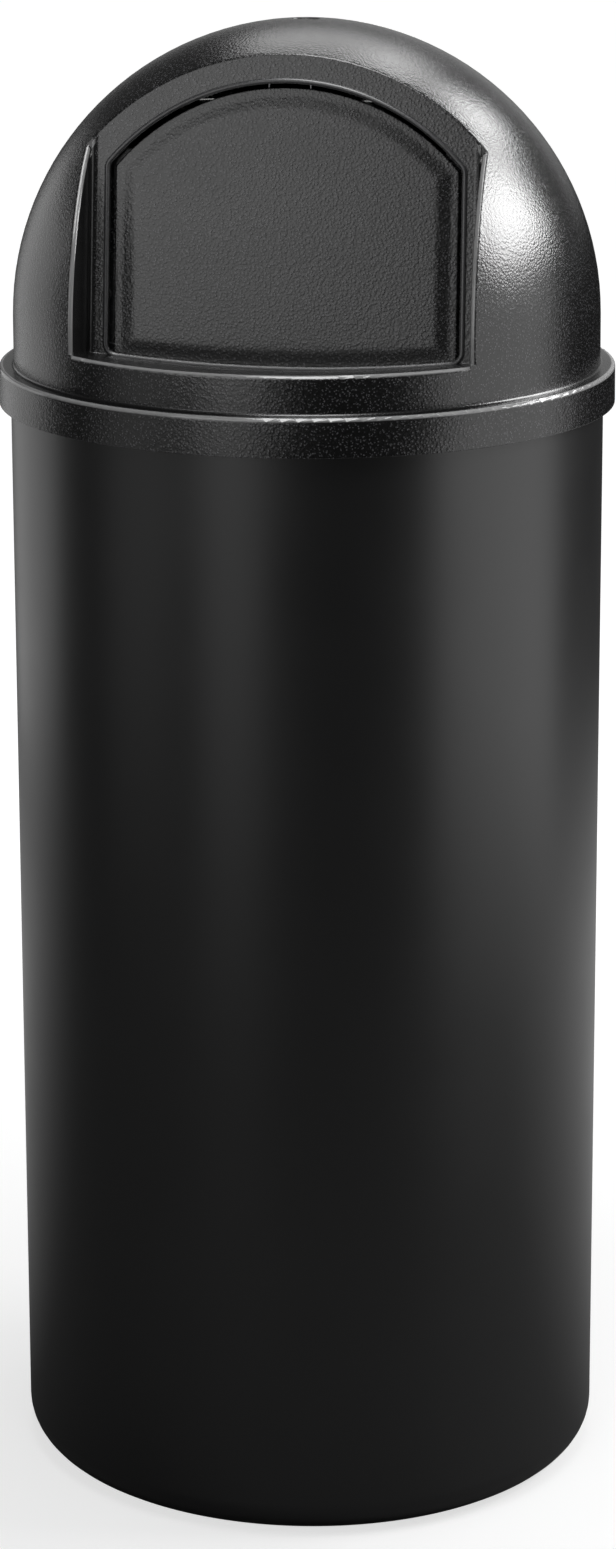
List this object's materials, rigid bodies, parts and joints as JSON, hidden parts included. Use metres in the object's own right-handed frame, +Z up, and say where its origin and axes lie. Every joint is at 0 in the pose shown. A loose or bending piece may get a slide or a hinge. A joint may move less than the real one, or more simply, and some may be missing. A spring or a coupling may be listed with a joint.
{
  "type": "push-door waste container",
  "caption": "Round tapered waste container with a lift-off domed hood and a sprung arched door that swings inward from a recessed face.",
  "frame": {"origin": "centre of the base, on the surface that the foot ring stands on", "axes": "+Z up, the door and its recess face -Y, +X to the right as seen from the front"},
  "size_m": [0.3905, 0.3906, 0.9268],
  "materials": {
    "tub_plastic": "satin black, very fine texture",
    "hood_plastic": "satin black with a leather grain",
    "bracket_plastic": "natural acetal",
    "steel": "zinc plated",
    "spring_steel": "bright spring wire",
    "rubber": "matt"
  },
  "bodies": {
    "base": {"tub": "tub_plastic", "bag_band": "rubber"},
    "hood": {"hood": "hood_plastic", "hinge_bracket_left": "bracket_plastic", "hinge_bracket_right": "bracket_plastic", "bracket_screws": "steel", "hinge_rod": "steel", "rod_caps": "steel", "door_spring_left": "spring_steel", "door_spring_right": "spring_steel", "door_buffers": "rubber"},
    "door": {"push_door": "hood_plastic"}
  },
  "joints": [
    {"name": "hood_lift", "type": "slide", "parent": "base", "child": "hood", "axis": [0, 0, 1], "range_m": [0, 0.15]},
    {"name": "door_swing", "type": "hinge", "parent": "hood", "child": "door", "pos_m": [0, -0.05488, 0.88212], "axis": [1, 0, 0], "range_deg": [0, 70], "stiffness_Nm_per_rad": 0.25, "springref_deg": -57.3, "deforming": ["door_spring_left", "door_spring_right"]}
  ]
}
